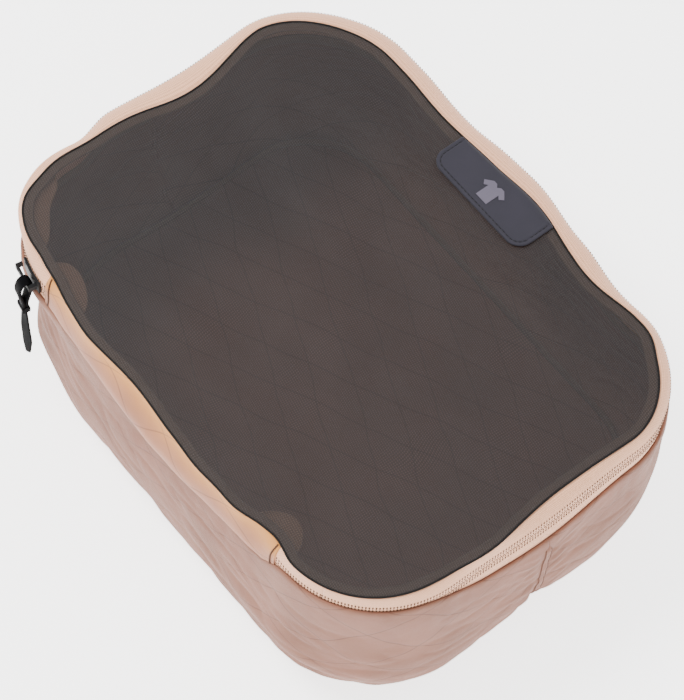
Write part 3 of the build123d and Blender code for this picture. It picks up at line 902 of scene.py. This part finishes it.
def ring_band(name, section):
    """A closed ring with a section of (offset from the rim, height from the rim)."""
    pts = []
    for o, z in section:
        wobble = 0.5 * noise2(ring_s / 17, 0 * ring_s + 2, 51) * (o < -5)
        pts.append(rim_points(-o + wobble, z - 0.05))
    grid = np.stack(pts, 1)
    u, v = np.meshgrid(ring_s, np.arange(len(section)) * 1.2, indexing="ij")
    faces = grid_faces(len(ring_s), len(section), True, True)
    return make_mesh(name, grid.reshape(-1, 3), faces, np.stack([u, v], -1).reshape(-1, 2))


bind = ring_band("lid_binding_band", BIND)
finish_piece(bind, BINDING, "lid", "binding", "lid_binding")

# ---------------------------------------------------------------- label
LABEL_POINTS = 180


def patch_outline(inset):
    """The label's edge: square at the rim, rounded towards the middle of the lid."""
    n = 10  # steps round a corner
    x0, x1 = LABEL_X - LABEL_L / 2 + inset, LABEL_X + LABEL_L / 2 - inset
    y0, y1 = LABEL_Y - LABEL_W / 2 + inset, LABEL_Y + LABEL_W / 2 - min(inset, 0.6)
    r = LABEL_R - inset
    pts = [(x1, y1), (x0, y1)]
    for cx, start in ((x0 + r, math.pi), (x1 - r, 1.5 * math.pi)):
        for k in range(n + 1):
            a = start + k * math.pi / 2 / n
            pts.append((cx + r * math.cos(a), y0 + r + r * math.sin(a)))
    dense = []
    for p, q in zip(pts, pts[1:] + pts[:1]):
        m = max(1, int(math.dist(p, q) / 2))
        dense += [(p[0] + (q[0] - p[0]) * k / m, p[1] + (q[1] - p[1]) * k / m) for k in range(m)]
    return dense


def resample(points):
    """The label's points, evenly spaced round a closed line."""
    p = np.asarray(points + points[:1], float)
    t = distance_along(p)
    q = np.linspace(0, t[-1], LABEL_POINTS, endpoint=False)
    return np.stack([np.interp(q, t, p[:, 0]), np.interp(q, t, p[:, 1])], 1)


def to_rim(points):
    """The label's outer half is drawn out to the rim that it is sewn into."""
    side = RIM[RIM[:, 1] > WIDTH / 4]
    side = side[np.argsort(side[:, 0])]
    edge = LABEL_Y + LABEL_W / 2
    gap = np.interp(points[:, 0], side[:, 0], side[:, 1]) - 0.3 - edge
    return np.stack([points[:, 0], points[:, 1] + gap * ramp(points[:, 1], LABEL_Y, edge)], 1)


# rings of the label from its underside to its face, as (inset, drop), with a groove for its thread
LAYERS = [(0.4, -1.5), (0.0, -1.1), (0.0, -0.5), (0.35, -0.12), (0.9, 0.0), (1.9, -0.05), (2.3, -0.32),
          (2.7, -0.32), (3.1, -0.02), (4.2, 0.0)]
rings = []
for inset, drop in LAYERS:
    ring = to_rim(resample(patch_outline(inset)))
    rings.append(np.concatenate([ring, np.full((LABEL_POINTS, 1), LABEL_TOP - 0.05 + drop)], 1))
core = rings[-1].mean(0)
for t in (0.8, 0.6, 0.4, 0.2):
    rings.append(core + (rings[len(LAYERS) - 1] - core) * t)
grid = np.concatenate(rings)
faces = [f[::-1] for f in grid_faces(len(rings), LABEL_POINTS, False, True)]
faces.append(list(range((len(rings) - 1) * LABEL_POINTS, len(rings) * LABEL_POINTS)))
faces.append(list(range(LABEL_POINTS))[::-1])
label = make_mesh("label_cloth", grid, faces, grid[:, :2])
finish_piece(label, LABEL, "lid", "label", "label_patch")

# its thread, along the three sides that aren't in the rim
path = resample(patch_outline(2.5))
path = path[path[:, 1] < LABEL_Y + LABEL_W / 2 - 2]
start = int(np.argmax(np.linalg.norm(np.diff(path, axis=0), axis=1))) + 1
path = to_rim(np.roll(path, -start, 0))
t = distance_along(path)
q = np.arange(1.5, t[-1], 3.1)
x, y = [np.interp(q, t, axis) for axis in path.T]
at, upright = np.stack([x, y, np.full(len(q), LABEL_TOP - 0.3)], 1), np.tile(UP, (len(q), 1))
thread = stitches("label_thread_row", at, np.gradient(at, axis=0), upright, 2.3, 0.6, 0.3)
finish_piece(thread, LABEL_THREAD, "lid", "label_thread", "label_stitching")

# ---------------------------------------------------------------- puller
# the slider rests at this angle about the middle of its corner; OUT and ALONG are its own directions
REST = math.radians(-101.0)
OUT, ALONG = np.array([math.cos(REST), math.sin(REST), 0]), np.array([-math.sin(REST), math.cos(REST), 0])
PLATE = np.array([-HX, -HY, ZIP_Z]) + OUT * (CORNER + 1.9)  # outer face of its plate
ARM_POINT = PLATE + OUT * 4.0 + ALONG * 2.6  # middle of the crown's arm, where the pull hangs
CORD_SIDES = 20


def ribbon(name, path, width, thick, taper=None, turn=None):
    """A flat cord with rounded edges along a path of (out, up) points beside the crown's arm.

    taper scales its width and turn twists it, in degrees, along the path."""
    p = np.asarray(path, float)
    t = np.gradient(p, axis=0)
    t /= np.linalg.norm(t, axis=1)[:, None]
    ang = np.linspace(0, 2 * math.pi, CORD_SIDES, endpoint=False)
    a = np.sign(np.cos(ang)) * np.abs(np.cos(ang)) ** 0.45
    b = np.sign(np.sin(ang)) * np.abs(np.sin(ang)) ** 0.6
    w = np.full(len(p), width / 2) if taper is None else taper * width / 2
    twist = np.zeros(len(p)) if turn is None else np.radians(turn)
    grid = []
    for k in range(len(p)):
        face = OUT * t[k, 1] - np.array([0, 0, t[k, 0]])
        side = ALONG * math.cos(twist[k]) - face * math.sin(twist[k])
        face = face * math.cos(twist[k]) + ALONG * math.sin(twist[k])
        middle = ARM_POINT + OUT * p[k, 0] + UP * p[k, 1]
        grid.append(middle + side * (a * w[k])[:, None] + face * (b * thick / 2)[:, None])
    grid = np.stack(grid)
    faces = grid_faces(len(p), CORD_SIDES, False, True) + end_caps(len(p), CORD_SIDES)
    return make_mesh(name, grid.reshape(-1, 3), faces)


LOOP = smooth_curve(
    [(1.7, -24.2), (1.2, -18.0), (-0.2, -12.0), (-1.8, -6.0), (-2.1, 0.0), (0.0, 2.7), (2.4, 2.0),
     (4.4, -1.5), (5.2, -6.5), (4.4, -12.0), (3.6, -18.0), (3.1, -24.2)], 90)
loop = ribbon("cord_loop", LOOP, 6.8, 2.2)
finish_piece(loop, CORD, "pull", "puller", "pull_loop")
tail_path = smooth_curve([(2.4, -23.5), (2.4, -32.0), (2.7, -48.0), (2.3, -64.0), (2.4, -79.3)], 60)
fraction = np.linspace(0, 1, 60)
wide = np.interp(fraction, [0, 0.1, 0.3, 0.74, 0.8, 1.0], [0.86, 0.88, 0.92, 1.02, 1.0, 0.56])
tail = ribbon("cord_tail", tail_path, 6.2, 1.9, taper=wide, turn=-30 * ramp(fraction, 0.0, 0.5))
finish_piece(tail, CORD, "pull", "puller", "pull_tail")

# pressed dimple near the crown's free end
spot = PLATE + OUT * 4.75 - ALONG * 7.0
angle = np.linspace(0, 2 * math.pi, 20, endpoint=False)[:, None]
circle = spot + 1.1 * (np.cos(angle) * ALONG + np.sin(angle) * UP)
dimple = tube("crown_dimple", circle, 0.28, closed=True)
finish_piece(dimple, METAL, "slider", "slider_metal")

# the CAD nodes that are seen: their material and how much their edges are rounded
CAD_LOOKS = (("slider_body", METAL, 0.35), ("slider_crown", METAL, 0.5), ("pull_keeper", CORD, 0.5),
             ("label_mark", MARK, 0.1), ("start_stop", METAL, 0.3), ("end_stop", METAL, 0.3))
for node, material, width in CAD_LOOKS:
    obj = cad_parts[node]
    obj.data.materials.clear()
    obj.data.materials.append(material)
    soft = obj.modifiers.new("soft_edges", "BEVEL")
    soft.width, soft.segments = width * MM, 3
    soft.limit_method, soft.angle_limit = "ANGLE", math.radians(40)

# ---------------------------------------------------------------- stage, light and camera
bpy.ops.mesh.primitive_plane_add(size=14, location=(0, 0, -0.0002))
ground = bpy.context.object
ground.name = "floor"
pale = Nodes("floor_paint")
pale.coords(False)
paper = pale.mix(pale.noise(pale.vector, 4.0, 2.0), (0.90, 0.90, 0.895, 1), (0.93, 0.93, 0.925, 1))
pale.link(paper, pale.bsdf.inputs["Base Color"])
pale.set(Roughness=0.9, Specular_IOR_Level=0.1, Emission_Color=(1, 1, 1, 1), Emission_Strength=2.6)
ground.data.materials.append(pale.mat)

world = bpy.data.worlds.new("studio")
bpy.context.scene.world = world
world.use_nodes = True
background = world.node_tree.nodes["Background"]
background.inputs["Color"].default_value = (1.0, 1.0, 1.0, 1)
background.inputs["Strength"].default_value = 1.25


LIT_POINT = Vector((0, 0, 0.06))


def softbox(name, position, size, power):
    """A round soft light that points at the cube."""
    light = bpy.data.lights.new(name, "AREA")
    light.shape, light.size, light.energy = "DISK", size, power
    obj = bpy.data.objects.new(name, light)
    bpy.context.scene.collection.objects.link(obj)
    obj.location = position
    obj.rotation_euler = (LIT_POINT - Vector(position)).to_track_quat("-Z", "Y").to_euler()


softbox("key", (-0.7, -0.5, 1.6), 0.7, 36)
softbox("fill", (1.3, -1.0, 1.0), 1.2, 10)
softbox("rim", (0.4, 1.5, 1.2), 1.0, 8)

# the camera looks at a point from a distance, turned about its own axis by the roll
AZ, EL, ROLL = math.radians(46.2), math.radians(61.3), math.radians(5.7)
LOOK_AT, DISTANCE, FOCAL = Vector((-0.002, 0.003, 0.05)), 1.72, 149.9
back = Vector((math.sin(AZ) * math.cos(EL), -math.cos(AZ) * math.cos(EL), math.sin(EL)))
level = Vector((math.cos(AZ), math.sin(AZ), 0))
rise = back.cross(level)
right = level * math.cos(ROLL) + rise * math.sin(ROLL)
above = rise * math.cos(ROLL) - level * math.sin(ROLL)
camera = bpy.data.objects.new("camera", bpy.data.cameras.new("camera"))
bpy.context.scene.collection.objects.link(camera)
turned = Matrix((right, above, back)).transposed().to_4x4()
camera.matrix_world = Matrix.Translation(LOOK_AT + back * DISTANCE) @ turned
camera.data.lens = FOCAL
camera.data.sensor_width = 36.0
camera.data.clip_start, camera.data.clip_end = 0.05, 30
bpy.context.scene.camera = camera
